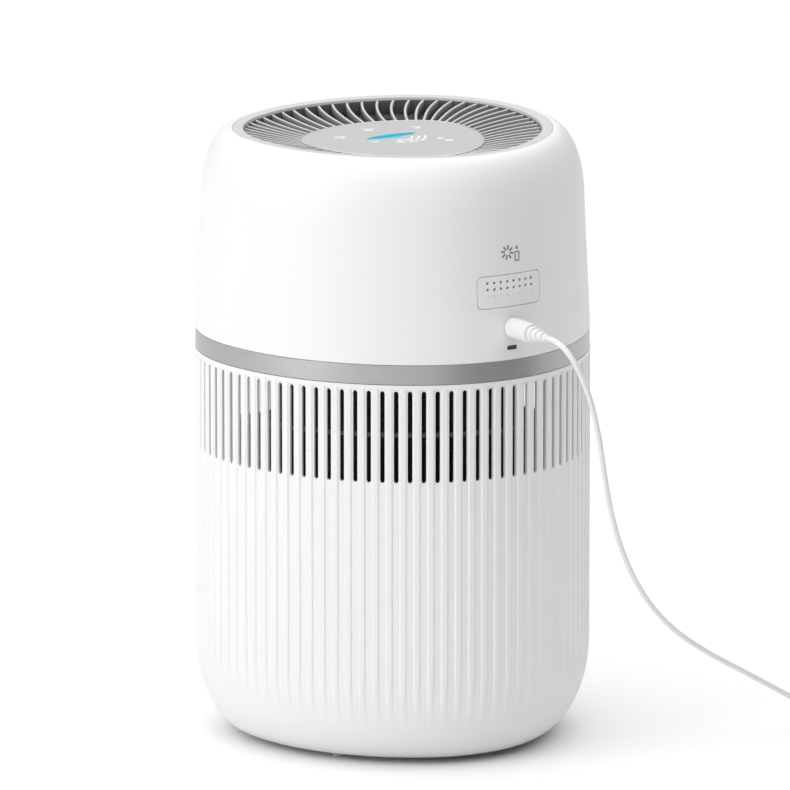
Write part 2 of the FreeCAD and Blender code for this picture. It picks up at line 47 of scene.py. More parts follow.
# ---- sizes shared with the CAD model, in millimetres about the fan axis -----------------
WIDTH = 210.0             # the same in every direction
HEIGHT = 327.0
CORNER_SHIFT = 20.3       # from the fan axis to the centres of the outline's arcs
WALL = 2.4
R_CORNER = WIDTH / 2 - CORNER_SHIFT * math.sqrt(3) / 2
R_SIDE = WIDTH / 2 + CORNER_SHIFT * math.sqrt(3) / 2
AXIS = Vector((0, (R_SIDE - R_CORNER) / 2 - CORNER_SHIFT, 0))    # from the frame's origin
CORNERS = (90.0, 210.0, 330.0)      # directions; the first is the rear corner
Z_BOTTOM = 2.5
Z_BASE_ROUND = 52.5
Z_BAND = 209.5
Z_UPPER = 220.4
Z_TOP_ROUND = 290.0
Z_DISC = 320.4
TOP_DRAFT = 3.3           # how far the upper wall leans in, from Z_UPPER to Z_TOP_ROUND
RIM_INSET = 19.3
OPENING_INSET = 26.0
FOOT_INSET = 27.0
FLOOR_THICK = 2.8
DISC_INSET = 56.5
SLOT_COUNT = 90
SLOT_Z = (156.8, 206.2)
BAND_INSET = 0.3
VANE_COUNT = 60
VANE_TALL = 7.0
VANE_Z_OUT = HEIGHT - 1.4
COVER_HOLE_R = 66.3
NOTCH_R = 69.8
NOTCHES = (120.0, 240.0, 0.0)       # directions of the notches for the cover's lugs
NOTCH_HALF = 12.5                   # degrees
LEAF_CENTRE = (-1.0, -7.8)
LEAF_HALF = (16.0, 4.8)
Z_JACK = 237.6
Z_SENSOR = 226.8
Z_DRAWER = 257.2
DRAWER_SIZE = (39.4, 17.0)
TRAY_Y = 91.3             # middle of the drawer's hollow
CUT_DEPTH = (85, 125)     # from inside the upper wall to outside it, at the rear corner
PLUG_START = 107.3
PLUG_END = 139.5
CORD_R = 1.5
ROUTE = [
    (0.0, 139.5, 237.6), (0.0, 150.0, 237.6), (-3.0, 159.5, 229.5), (-9.0, 164.5, 212.5),
    (-15.5, 164.5, 190.0), (-21.5, 161.5, 165.0), (-30.0, 156.5, 140.0), (-41.5, 151.5, 116.0),
    (-57.0, 146.5, 93.0), (-78.0, 141.0, 72.0), (-104.0, 136.0, 54.5), (-132.0, 132.0, 39.0),
    (-159.0, 129.5, 23.5), (-184.0, 129.0, 9.0), (-203.0, 130.8, 1.7), (-219.0, 134.2, 1.6),
]
COIL_CENTRE = (-222.5, 155.0)
TAIL = [
    (-238.0, 136.4, 9.2), (-250.0, 137.5, 12.4), (-262.0, 138.5, 14.0), (-268.0, 138.5, 14.0),
]

# ---- sizes of the visual model only ----------------------------------------------------
SLOT_HALF = 1.25
FLUTE_PITCH = math.pi * WIDTH / SLOT_COUNT
FLUTE_HALF = 2.4
FLUTE_DEPTH = 0.68
VANE_Z_IN = HEIGHT - 7.0
COIL_RINGS = (13.4, 16.5, 19.6)     # radii of the turns
COIL_LEVELS = (1.6, 4.7, 7.8)       # heights of the turns
COIL_START = -102.0       # direction in which each turn starts
COIL_WAY = -1             # clockwise from above
OUTLINE_POINTS = 420      # round a skin that is seen as a silhouette
HIDDEN_POINTS = 240       # round a skin that is mostly hidden
DISC_POINTS = 300         # round the touch disc
SHARP = 32.0              # degrees between faces from which an edge is sharp
WELD = 1e-7               # metres
FINE_GRAIN = 2600.0       # noise scale of a moulded surface
GRAIN_DEPTH = 0.0001      # metres

# ---- view: degrees, then metres --------------------------------------------------------
VIEW_AZIMUTH = 56.0       # from +X towards +Y, 34 to one side of the rear corner
VIEW_PITCH = 12.6
VIEW_DISTANCE = 7.0
VIEW_HEIGHT = 0.1813
VIEW_SHIFT = 0.0014


# ---- camera ----------------------------------------------------------------------------
def make_camera():
    """A long lens, far off to one side of the rear corner and a little above."""
    azimuth, pitch = math.radians(VIEW_AZIMUTH), math.radians(VIEW_PITCH)
    towards = Vector((math.cos(azimuth) * math.cos(pitch), math.sin(azimuth) * math.cos(pitch),
                      math.sin(pitch)))
    right = Vector((-math.sin(azimuth), math.cos(azimuth), 0))
    target = Vector((0, 0, VIEW_HEIGHT)) + AXIS * MM - right * VIEW_SHIFT
    data = bpy.data.cameras.new("camera")
    data.lens = 600.0
    data.sensor_width = 36.0
    data.clip_end = 50
    camera = bpy.data.objects.new("camera", data)
    camera.location = target + towards * VIEW_DISTANCE
    camera.rotation_euler = towards.to_track_quat("Z", "Y").to_euler()
    bpy.context.scene.collection.objects.link(camera)
    bpy.context.scene.camera = camera


# ---- materials -------------------------------------------------------------------------
def new_material(name):
    """Material with its node tree and its shader."""
    material = bpy.data.materials.new(name)
    material.use_nodes = True
    return material, material.node_tree, material.node_tree.nodes["Principled BSDF"]


def node(tree, kind, **settings):
    """New node; a setting is one of its properties or the value of an input."""
    made = tree.nodes.new(kind)
    for key, value in settings.items():
        if hasattr(made, key):
            setattr(made, key, value)
        else:
            made.inputs[key.replace("_", " ")].default_value = value
    return made


def plastic(name, colour, rough=0.42, grain=FINE_GRAIN, bump=0.06, vary=0.02):
    """Moulded plastic: fine spark-eroded grain, slow changes of tone and of gloss."""
    material, tree, shader = new_material(name)
    place = node(tree, "ShaderNodeTexCoord").outputs["Object"]
    slow = node(tree, "ShaderNodeTexNoise", Scale=14.0, Detail=3.0)
    fine = node(tree, "ShaderNodeTexNoise", Scale=grain, Detail=2.0)
    tone = node(tree, "ShaderNodeValToRGB")
    dark = [c * (1 - vary) for c in colour]
    tone.color_ramp.elements[0].color = (*dark, 1)
    tone.color_ramp.elements[1].color = (*colour, 1)
    gloss = node(tree, "ShaderNodeMapRange")
    gloss.inputs["To Min"].default_value = rough - 0.04
    gloss.inputs["To Max"].default_value = rough + 0.05
    height = node(tree, "ShaderNodeBump", Strength=bump, Distance=GRAIN_DEPTH)
    for texture in (slow, fine):
        tree.links.new(place, texture.inputs["Vector"])
    tree.links.new(slow.outputs["Fac"], tone.inputs["Fac"])
    tree.links.new(slow.outputs["Fac"], gloss.inputs["Value"])
    tree.links.new(fine.outputs["Fac"], height.inputs["Height"])
    tree.links.new(tone.outputs["Color"], shader.inputs["Base Color"])
    tree.links.new(gloss.outputs["Result"], shader.inputs["Roughness"])
    tree.links.new(height.outputs["Normal"], shader.inputs["Normal"])
    return material


def metal(name, colour, rough):
    """Brushed metal: noise squeezed in height, so that it reads as level brush lines."""
    material, tree, shader = new_material(name)
    place = node(tree, "ShaderNodeTexCoord").outputs["Object"]
    mapping = node(tree, "ShaderNodeMapping")
    mapping.inputs["Scale"].default_value = (1.0, 1.0, 60.0)
    lines = node(tree, "ShaderNodeTexNoise", Scale=60.0, Detail=6.0)
    tone = node(tree, "ShaderNodeValToRGB")
    tone.color_ramp.elements[0].position = 0.3
    tone.color_ramp.elements[0].color = (*[c * 0.9 for c in colour], 1)
    tone.color_ramp.elements[1].position = 0.7
    tone.color_ramp.elements[1].color = (*colour, 1)
    gloss = node(tree, "ShaderNodeMapRange")
    gloss.inputs["To Min"].default_value = rough - 0.05
    gloss.inputs["To Max"].default_value = rough + 0.08
    height = node(tree, "ShaderNodeBump", Strength=0.05, Distance=GRAIN_DEPTH)
    tree.links.new(place, mapping.inputs["Vector"])
    tree.links.new(mapping.outputs["Vector"], lines.inputs["Vector"])
    tree.links.new(lines.outputs["Fac"], tone.inputs["Fac"])
    tree.links.new(lines.outputs["Fac"], gloss.inputs["Value"])
    tree.links.new(lines.outputs["Fac"], height.inputs["Height"])
    tree.links.new(tone.outputs["Color"], shader.inputs["Base Color"])
    tree.links.new(gloss.outputs["Result"], shader.inputs["Roughness"])
    tree.links.new(height.outputs["Normal"], shader.inputs["Normal"])
    shader.inputs["Metallic"].default_value = 1.0
    return material


def cellular(name, dark, light, scale, bump=0.6):
    """Foam, felt, carbon granules or mesh: small cells with darker gaps."""
    material, tree, shader = new_material(name)
    place = node(tree, "ShaderNodeTexCoord").outputs["Object"]
    cells = node(tree, "ShaderNodeTexVoronoi", Scale=scale)
    tone = node(tree, "ShaderNodeValToRGB")
    tone.color_ramp.elements[0].color = (*light, 1)
    tone.color_ramp.elements[1].color = (*dark, 1)
    height = node(tree, "ShaderNodeBump", Strength=bump, Distance=0.0006)
    tree.links.new(place, cells.inputs["Vector"])
    tree.links.new(cells.outputs["Distance"], tone.inputs["Fac"])
    tree.links.new(cells.outputs["Distance"], height.inputs["Height"])
    tree.links.new(tone.outputs["Color"], shader.inputs["Base Color"])
    tree.links.new(height.outputs["Normal"], shader.inputs["Normal"])
    shader.inputs["Roughness"].default_value = 0.9
    return material


def vane_with_painted_shade(name, top, side):
    """Louvre finish with painted light and shade: pale along the upward edges as if lit from
    above, painted shade darker down the blades' sides.
    """
    material, tree, shader = new_material(name)
    facing = node(tree, "ShaderNodeSeparateXYZ")
    tone = node(tree, "ShaderNodeValToRGB")
    tone.color_ramp.elements[0].position = 0.15
    tone.color_ramp.elements[0].color = (*side, 1)
    tone.color_ramp.elements[1].position = 0.7
    tone.color_ramp.elements[1].color = (*top, 1)
    grain = node(tree, "ShaderNodeTexNoise", Scale=FINE_GRAIN, Detail=2.0)
    height = node(tree, "ShaderNodeBump", Strength=0.05, Distance=GRAIN_DEPTH)
    place = node(tree, "ShaderNodeTexCoord")
    normal = node(tree, "ShaderNodeNewGeometry").outputs["Normal"]
    tree.links.new(normal, facing.inputs["Vector"])
    # The surface's facing picks painted shade for the blades' sides and a paler painted top.
    tree.links.new(facing.outputs["Z"], tone.inputs["Fac"])
    tree.links.new(place.outputs["Object"], grain.inputs["Vector"])
    tree.links.new(grain.outputs["Fac"], height.inputs["Height"])
    tree.links.new(height.outputs["Normal"], shader.inputs["Normal"])
    tree.links.new(tone.outputs["Color"], shader.inputs["Base Color"])
    shader.inputs["Roughness"].default_value = 0.42
    return material


def lit_lens(name):
    """Lit lens: deep blue along its middle, paler cyan towards its edges."""
    material, tree, shader = new_material(name)
    place = node(tree, "ShaderNodeTexCoord").outputs["Object"]
    parts = node(tree, "ShaderNodeSeparateXYZ")
    centre = node(tree, "ShaderNodeMath", operation="SUBTRACT")
    centre.inputs[1].default_value = (AXIS.y + LEAF_CENTRE[1]) * MM
    spread = node(tree, "ShaderNodeMath", operation="ABSOLUTE")
    scaled = node(tree, "ShaderNodeMath", operation="MULTIPLY")
    scaled.inputs[1].default_value = 1 / (LEAF_HALF[1] * MM)
    tone = node(tree, "ShaderNodeValToRGB")
    tone.color_ramp.elements[0].color = (0.0, 0.2, 0.38, 1)
    tone.color_ramp.elements[1].position = 0.8
    tone.color_ramp.elements[1].color = (0.0, 0.47, 0.62, 1)
    tree.links.new(place, parts.inputs["Vector"])
    tree.links.new(parts.outputs["Y"], centre.inputs[0])
    tree.links.new(centre.outputs[0], spread.inputs[0])
    tree.links.new(spread.outputs[0], scaled.inputs[0])
    tree.links.new(scaled.outputs[0], tone.inputs["Fac"])
    tree.links.new(tone.outputs["Color"], shader.inputs["Base Color"])
    tree.links.new(tone.outputs["Color"], shader.inputs["Emission Color"])
    shader.inputs["Emission Strength"].default_value = 0.25
    shader.inputs["Specular IOR Level"].default_value = 0.2
    shader.inputs["Roughness"].default_value = 0.25
    return material


def make_materials():
    """Finishes by name. Those that a CAD node's slot asks for have the slot's name."""
    return {
        "white_shell": plastic("white_shell", (0.8, 0.8, 0.798)),
        "satin_metal": metal("satin_metal", (0.44, 0.44, 0.45), rough=0.34),
        "panel_grey": plastic("panel_grey", (0.53, 0.53, 0.535), rough=0.3, bump=0.02),
        "panel_print": plastic("panel_print", (0.95, 0.95, 0.95), rough=0.5),
        "symbol_print": plastic("symbol_print", (0.21, 0.21, 0.23), rough=0.5),
        "light_lens": lit_lens("light_lens"),
        "dark_plastic": plastic("dark_plastic", (0.045, 0.045, 0.048), rough=0.5, bump=0.12),
        # The louvre blades' colour holds painted shade down their sides and a paler painted top
        # edge.
        "vane_painted_shade": vane_with_painted_shade("vane_painted_shade", (0.55, 0.55, 0.555), (0.085, 0.085, 0.09)),
        # The rim's grey is painted shade: a darker tone standing in for the shade on the rim's
        # far side.
        "rim_painted_shade": plastic("rim_painted_shade", (0.6, 0.6, 0.605), rough=0.4),
        "collar_grey": plastic("collar_grey", (0.11, 0.11, 0.112), rough=0.5),
        "rubber_grey": plastic("rubber_grey", (0.5, 0.5, 0.5), rough=0.75, bump=0.2),
        "foam_black": cellular("foam_black", (0.01, 0.01, 0.01), (0.06, 0.06, 0.06), 900.0),
        "bright_metal": metal("bright_metal", (0.8, 0.8, 0.8), rough=0.45),
        "steel": metal("steel", (0.6, 0.6, 0.61), rough=0.28),
        "circuit_board": plastic("circuit_board", (0.02, 0.16, 0.07), rough=0.3, vary=0.3),
        "electronic_parts": plastic("electronic_parts", (0.03, 0.03, 0.035), rough=0.35),
        "wire_insulation": plastic("wire_insulation", (0.42, 0.03, 0.02), rough=0.4),
        "filter_paper": cellular("filter_paper", (0.7, 0.69, 0.64), (0.85, 0.84, 0.8), 1500.0,
                                 bump=0.25),
        "carbon": cellular("carbon", (0.004, 0.004, 0.004), (0.05, 0.05, 0.05), 500.0),
        "mesh_black": cellular("mesh_black", (0.006, 0.006, 0.006), (0.05, 0.05, 0.055),
                               1200.0),
        "aroma_felt": cellular("aroma_felt", (0.62, 0.58, 0.5), (0.85, 0.82, 0.74), 1400.0),
        "white_cord": plastic("white_cord", (0.78, 0.78, 0.78), rough=0.3, grain=900.0,
                              bump=0.03),
        "adapter_white": plastic("adapter_white", (0.84, 0.84, 0.84), rough=0.38),
        "tie_black": plastic("tie_black", (0.02, 0.02, 0.02), rough=0.45),
    }


# ---- outline and mesh tools ------------------------------------------------------------
def polar(radius, degrees, z=0.0):
    """Point from a radius and a direction."""
    angle = math.radians(degrees)
    return Vector((radius * math.cos(angle), radius * math.sin(angle), z))


def arcs():
    """The outline's six arcs of 60 degrees: centre, radius, direction of the first point."""
    found = []
    for i, corner in enumerate(CORNERS):
        opposite = CORNERS[(i + 2) % 3]
        found.append((polar(CORNER_SHIFT, corner), R_CORNER, corner - 30))
        found.append((polar(CORNER_SHIFT, opposite), R_SIDE, opposite + 150))
    return found


ARCS = arcs()


def station(fraction):
    """Arc centre, arc radius and outward angle at a fraction of the way round the outline."""
    total = sum(radius for _, radius, _ in ARCS)
    left = (fraction % 1.0) * total
    for centre, radius, start in ARCS:
        if left <= radius:
            return centre, radius, start + 60 * left / radius
        left -= radius
    return ARCS[0]            # rounding carried it past the last arc


def at(place, inset, z):
    """Point at a station of the outline, moved inwards by inset."""
    centre, radius, angle = place
    point = centre + polar(radius - inset, angle)
    point.z = z
    return point


def around(count):
    """Stations evenly round the outline."""
    return [station(i / count) for i in range(count)]


def draft(z):
    """How far in the upper housing's wall stands at height z."""
    return TOP_DRAFT * (z - Z_UPPER) / (Z_TOP_ROUND - Z_UPPER)


def make_mesh(name, points, faces, weld):
    """Mesh from points in millimetres, with its faces turned outwards."""
    mesh = bpy.data.meshes.new(name)
    mesh.from_pydata([(Vector(p) + AXIS) * MM for p in points], [], faces)
    if weld:
        mesh.validate()
    work = bmesh.new()
    work.from_mesh(mesh)
    if weld:
        bmesh.ops.remove_doubles(work, verts=work.verts, dist=WELD)
    bmesh.ops.recalc_face_normals(work, faces=work.faces)
    work.to_mesh(mesh)
    work.free()
    return mesh


def smooth(mesh, sharp):
    """Smooth shading, apart from edges sharper than an angle in degrees."""
    mesh.shade_smooth()
    mesh.set_sharp_from_angle(angle=math.radians(sharp))


def build(name, points, faces, material, slot, body="housing", sharp=SHARP):
    """Piece from points in millimetres, riding on a body."""
    mesh = make_mesh(name, points, faces, weld=True)
    smooth(mesh, sharp)
    piece = bpy.data.objects.new(name, mesh)
    bpy.context.scene.collection.objects.link(piece)
    mesh.materials.append(material)
    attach(piece, body)
    return piece


def rings(rows, closed=True):
    """Points and faces of a skin through rings of equal length. Closed joins last to first."""
    count = len(rows[0])
    points = [p for row in rows for p in row]
    faces = []
    for r in range(len(rows) if closed else len(rows) - 1):
        nxt = (r + 1) % len(rows)
        for c in range(count):
            d = (c + 1) % count
            faces.append((r * count + c, r * count + d, nxt * count + d, nxt * count + c))
    return points, faces


def swept(profile, count):
    """Closed section of (inset, z) carried round the outline."""
    places = around(count)
    return rings([[at(p, inset, z) for p in places] for inset, z in profile])


def ellipse(centre, a, b, first, last, steps):
    """Inset and height along part of an ellipse; a is across and b is up."""
    found = []
    for i in range(steps + 1):
        angle = math.radians(first + (last - first) * i / steps)
        found.append((centre[0] - a * math.cos(angle), centre[1] + b * math.sin(angle)))
    return found


def lathe(profile, count, centre, axis):
    """Turned shape from (radius, distance along axis). A radius of 0 is a tiny hole."""
    turn = Vector((0, 0, 1)).rotation_difference(Vector(axis)).to_matrix()
    rows = []
    for radius, along in profile:
        rows.append([Vector(centre) + turn @ polar(max(radius, 0.001), 360 * i / count, along)
                     for i in range(count)])
    return rings(rows, closed=False)


def merge(parts):
    """Joins several (points, faces) into one."""
    points, faces = [], []
    for new_points, new_faces in parts:
        base = len(points)
        points.extend(new_points)
        faces.extend([tuple(base + i for i in face) for face in new_faces])
    return points, faces


UPRIGHT = Matrix.Identity(3)
FACING = Matrix(((1, 0, 0), (0, 0, 1), (0, 1, 0)))      # outline to the XZ plane, depth to +Y


def prism(outline, low, high, centre, turn=UPRIGHT):
    """Solid from a flat closed outline in XY, then turned and moved."""
    count = len(outline)
    points = [Vector(centre) + turn @ Vector((x, y, z))
              for z in (low, high) for x, y in outline]
    faces = [tuple(range(count))[::-1], tuple(range(count, 2 * count))]
    faces += [(i, (i + 1) % count, count + (i + 1) % count, count + i) for i in range(count)]
    return points, faces


def rounded(width, height, radius):
    """Outline of a rounded rectangle about the origin."""
    steps = 6
    found = []
    for sx, sy, start in ((1, 1, 0), (-1, 1, 90), (-1, -1, 180), (1, -1, 270)):
        for i in range(steps + 1):
            corner = polar(radius, start + 90 * i / steps)
            found.append((sx * (width / 2 - radius) + corner.x,
                          sy * (height / 2 - radius) + corner.y))
    return found


def boolean(piece, solids, operation):
    """Cuts the piece with throwaway solids, or keeps what is inside them."""
    mesh = make_mesh("cutter", *merge(solids), weld=False)
    cutter = bpy.data.objects.new("cutter", mesh)
    bpy.context.scene.collection.objects.link(cutter)
    change = piece.modifiers.new("cut", "BOOLEAN")
    change.operation = operation
    change.object = cutter
    change.solver = "EXACT"
    bpy.context.view_layer.update()
    graph = bpy.context.evaluated_depsgraph_get()
    result = bpy.data.meshes.new_from_object(piece.evaluated_get(graph))
    piece.modifiers.clear()
    old = piece.data
    piece.data = result
    bpy.data.meshes.remove(old)
    bpy.data.objects.remove(cutter)
    smooth(result, SHARP)
    weights = piece.modifiers.new("weights", "WEIGHTED_NORMAL")
    weights.keep_sharp = True
    weights.weight = 90


# ---- housings --------------------------------------------------------------------------
def upper_section():
    """Closed section of the upper housing: leaning wall, shoulder, crest, and inside."""
    rise = HEIGHT - Z_TOP_ROUND
    across = RIM_INSET - TOP_DRAFT
    shoulder = (RIM_INSET, Z_TOP_ROUND)
    outside = [(0.25, Z_UPPER), (0.02, Z_UPPER + 0.3)]
    outside += [(TOP_DRAFT * i / 8, Z_UPPER + (Z_TOP_ROUND - Z_UPPER) * i / 8)
                for i in range(1, 8)]
    outside += ellipse(shoulder, across, rise, 0, 90, 26)
    rim = [(RIM_INSET + 0.6, HEIGHT), (RIM_INSET + 0.75, HEIGHT - 0.15),
           (RIM_INSET + 0.75, HEIGHT - WALL)]
    inside = ellipse(shoulder, across - WALL, rise - WALL, 90, 0, 12) + [(WALL, Z_UPPER)]
    return outside + rim + inside


def upper_housing(material):
    """Upper shell with the openings for the drawer, the power socket and the sensor."""
    points, faces = swept(upper_section(), OUTLINE_POINTS)
    piece = build("upper_shell", points, faces, material, "white_shell")
    gap, socket_r, sensor_depth = 0.2, 4.3, (100, 112)
    drawer = prism(rounded(DRAWER_SIZE[0] + 2 * gap, DRAWER_SIZE[1] + 2 * gap, 2.8),
                   *CUT_DEPTH, (0, 0, Z_DRAWER), FACING)
    socket = lathe([(0, 90), (socket_r, 90), (socket_r, 115), (0, 115)], 40, (0, 0, Z_JACK),
                   (0, 1, 0))
    sensor = prism(rounded(6.4, 2.4, 1.19), *sensor_depth, (0, 0, Z_SENSOR), FACING)
    boolean(piece, [drawer, socket, sensor], "DIFFERENCE")
    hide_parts("upper_housing")


def outlet_rim(material):
    """Flat ring between the shell's crest and the opening, with the opening's own wall."""
    crest, lip = RIM_INSET + 0.95, OPENING_INSET
    low = HEIGHT - 12.0
    section = [(crest, HEIGHT - 0.1), (crest + 0.15, HEIGHT), (lip - 0.6, HEIGHT),
               (lip - 0.2, HEIGHT - 0.15), (lip, HEIGHT - 0.6), (lip, low),
               (lip - WALL, low), (lip - WALL, HEIGHT - WALL),
               (crest - 1.5, HEIGHT - WALL), (crest - 1.5, HEIGHT - 0.5), (crest, HEIGHT - 0.5)]
    points, faces = swept(section, OUTLINE_POINTS)
    # The ring's grey finish is painted shade.
    build("outlet_rim", points, faces, material, "white_shell")


def clamped(value):
    """Value kept between 0 and 1."""
    return min(1.0, max(0.0, value))


def flute_depth(u, z):
    """Depth of a flute at u across from its middle and height z. It fades out at the foot."""
    edge_width, z_top, top_height, z_foot, foot_height = 0.7, 207.2, 0.4, 20.0, 36.0
    edge = clamped((FLUTE_HALF - abs(u)) / edge_width)
    top = clamped((z_top - z) / top_height)
    fade = clamped((z - z_foot) / foot_height)
    return FLUTE_DEPTH * edge * top * fade * fade * (3 - 2 * fade)


def slot_end(u):
    """Rise of a slot's round end at u across from its middle."""
    return math.sqrt(max(0.0, SLOT_HALF ** 2 - u ** 2))


def fluted_columns():
    """Offsets of the points across one flute, and (station, offset) of every column."""
    half = [0.45, 0.85, SLOT_HALF, 1.7, 2.0, FLUTE_HALF]
    offsets = [-FLUTE_PITCH / 2] + [-u for u in half[::-1]] + [0.0] + half
    columns = [(station((i + 0.5 + u / FLUTE_PITCH) / SLOT_COUNT), u)
               for i in range(SLOT_COUNT) for u in offsets]
    return offsets, columns


def floor_ring(columns, z):
    """Edge of the cover's opening at height z, with the notches for the lugs."""
    ring = []
    for place, _ in columns:
        outer = at(place, FOOT_INSET, z)
        angle = math.degrees(math.atan2(outer.y, outer.x))
        near = min(abs((angle - n + 180) % 360 - 180) for n in NOTCHES)
        ring.append(polar(NOTCH_R if near < NOTCH_HALF else COVER_HOLE_R, angle, z))
    return ring


def open_slots(faces, offsets, outer_row, inner_row, span):
    """Takes the slots out of both skins and joins the skins along each slot's edge.

    The slots run span rows from outer_row of the outer skin, which is at their top ends, and
    span rows from inner_row of the inner skin, which is at their bottom ends.
    """
    per = len(offsets)
    width = per * SLOT_COUNT
    left, right = offsets.index(-SLOT_HALF), offsets.index(SLOT_HALF)

    def in_slot(face):
        r, c = divmod(face[0], width)
        along = outer_row <= r < outer_row + span or inner_row <= r < inner_row + span
        return along and left <= c % per < right

    def pair(k, c):
        """Outer and inner point, k rows from the slots' top ends."""
        return (outer_row + k) * width + c, (inner_row + span - k) * width + c

    kept = [face for face in faces if not in_slot(face)]
    for base in range(0, width, per):
        for k in range(span):
            for c in (base + left, base + right):
                (a, b), (d, e) = pair(k, c), pair(k + 1, c)
                kept.append((a, b, e, d))
        for c in range(base + left, base + right):
            for k in (0, span):
                (a, b), (d, e) = pair(k, c), pair(k, c + 1)
                kept.append((a, b, e, d))
    return kept


def lower_skin():
    """Points and faces of the fluted wall, with its slots and the floor ring."""
    offsets, columns = fluted_columns()
    low, high = SLOT_Z

    def row(z_of, inset_of):
        return [at(place, inset_of(u, z_of(u)), z_of(u)) for place, u in columns]

    def level(z):
        return lambda u: z

    slot_rows = [lambda u: high - SLOT_HALF + slot_end(u)]
    slot_rows += [level(z) for z in (198.0, 190.0, 182.0, 174.0, 166.0)]
    slot_rows += [lambda u: low + SLOT_HALF - slot_end(u)]
    above = [level(z) for z in (Z_BAND, 208.6, 207.2, 206.7)]
    below = [level(z) for z in (155.5, 140.0, 120.0, 100.0, 80.0, 64.0)]
    rows = [row(z, flute_depth) for z in above + slot_rows + below]
    foot = (FOOT_INSET, Z_BASE_ROUND)
    rise = Z_BASE_ROUND - Z_BOTTOM
    for inset, z in ellipse(foot, FOOT_INSET, rise, 0, -90, 26):
        rows.append(row(level(z), lambda u, h, inset=inset: inset + flute_depth(u, h)))
    rows += [floor_ring(columns, Z_BOTTOM), floor_ring(columns, Z_BOTTOM + FLOOR_THICK)]
    for inset, z in ellipse(foot, FOOT_INSET - WALL, rise - WALL, -84, 0, 8):
        rows.append(row(level(z), lambda u, h, inset=inset: inset))
    rows.append(row(level(100.0), lambda u, h: WALL))
    inner_row = len(rows)
    rows += [row(z, lambda u, h: WALL) for z in slot_rows[::-1] + [level(Z_BAND)]]
    points, faces = rings(rows)
    return points, open_slots(faces, offsets, len(above), inner_row, len(slot_rows) - 1)


def lower_housing(material):
    """Fluted housing with a rounded slot through the top of every flute.

    A neck and three screw posts stand up inside the upper housing.
    """
    low, high = 208, 222
    neck = swept([(WALL + 0.1, low), (WALL + 0.1, high), (4.8, high), (4.8, low)],
                 HIDDEN_POINTS)
    post = [(1.3, low), (3.6, low), (3.6, high), (1.3, high), (1.3, low)]
    posts = []
    for corner in CORNERS:
        centre = polar(WIDTH / 2 - 12.5, corner + 60)
        posts.append(lathe(post, 24, centre, (0, 0, 1)))
    points, faces = merge([lower_skin(), neck] + posts)
    piece = build("lower_shell", points, faces, material, "white_shell", sharp=40)
    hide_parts("lower_housing")


def trim_band(material):
    """Metal band between the housings, with softened edges."""
    low, high, soft, back = Z_BAND + 0.1, Z_UPPER - 0.1, 0.3, 2.1
    section = [(BAND_INSET + soft, low), (BAND_INSET, low + soft), (BAND_INSET, high - soft),
               (BAND_INSET + soft, high), (back, high), (back, low)]
    points, faces = swept(section, OUTLINE_POINTS)
    piece = build("metal_band", points, faces, material, "satin_metal")
    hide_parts("trim_band")


# ---- outlet ----------------------------------------------------------------------------
def vane_point(index, t):
    """Point at a fraction t of the way out along a vane's curved line."""
    inner, outer = DISC_INSET + 0.2, OPENING_INSET + 0.8
    swirl = (3.6 * t - 5.7 * t * t) / 360
    place = station((index + 0.5) / VANE_COUNT + swirl)
    return at(place, inner + (outer - inner) * t, 0)


def vane(index):
    """Curved louvre blade with a rounded top edge that rises outwards."""
    steps, thick = 12, 1.5
    section = [(-0.5, -VANE_TALL), (-0.5, -0.45), (-0.3, -0.08), (0.0, 0.0), (0.3, -0.08),
               (0.5, -0.45), (0.5, -VANE_TALL)]      # (share of the thickness, height)
    rows = []
    for i in range(steps + 1):
        t = i / steps
        here = vane_point(index, t)
        along = vane_point(index, t + 0.01) - here
        side = along.cross(Vector((0, 0, 1))).normalized()
        top = VANE_Z_IN + (VANE_Z_OUT - VANE_Z_IN) * t
        rows.append([here + side * (share * thick) + Vector((0, 0, top + drop))
                     for share, drop in section])
    points, faces = rings(rows, closed=False)
    width = len(section)
    faces.append(tuple(range(width)))
    faces.append(tuple(range(len(points) - width, len(points)))[::-1])
    return points, faces


def outlet_grille(material, wall_material, ledge_material):
    """Louvre blades between the opening and the disc, a dark collar and an inner ledge."""
    vanes = [vane(i) for i in range(VANE_COUNT)]
    # The blades' finish carries painted shade down their sides.
    blades = build("outlet_vanes", *merge(vanes), material, "white_shell", sharp=50)
    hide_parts("outlet_grille")
    lip, low, high = OPENING_INSET, VANE_Z_OUT - VANE_TALL, VANE_Z_OUT
    collar = [(lip + 0.2, low), (lip + 0.2, high - 0.2), (lip + 0.5, high), (lip + 0.9, high),
              (lip + 1.1, high - 0.3), (lip + 1.1, low)]
    build("outlet_collar", *swept(collar, HIDDEN_POINTS), wall_material, "dark_plastic")
    inner, outer = DISC_INSET + 2.2, DISC_INSET - 1.2
    low, high = VANE_Z_IN - VANE_TALL, VANE_Z_IN - VANE_TALL + 2.0
    ledge = [(outer, low), (outer, high), (inner, high), (inner, low)]
    # The ledge takes the rim's painted-shade grey.
    build("outlet_ledge", *swept(ledge, HIDDEN_POINTS), ledge_material, "white_shell")


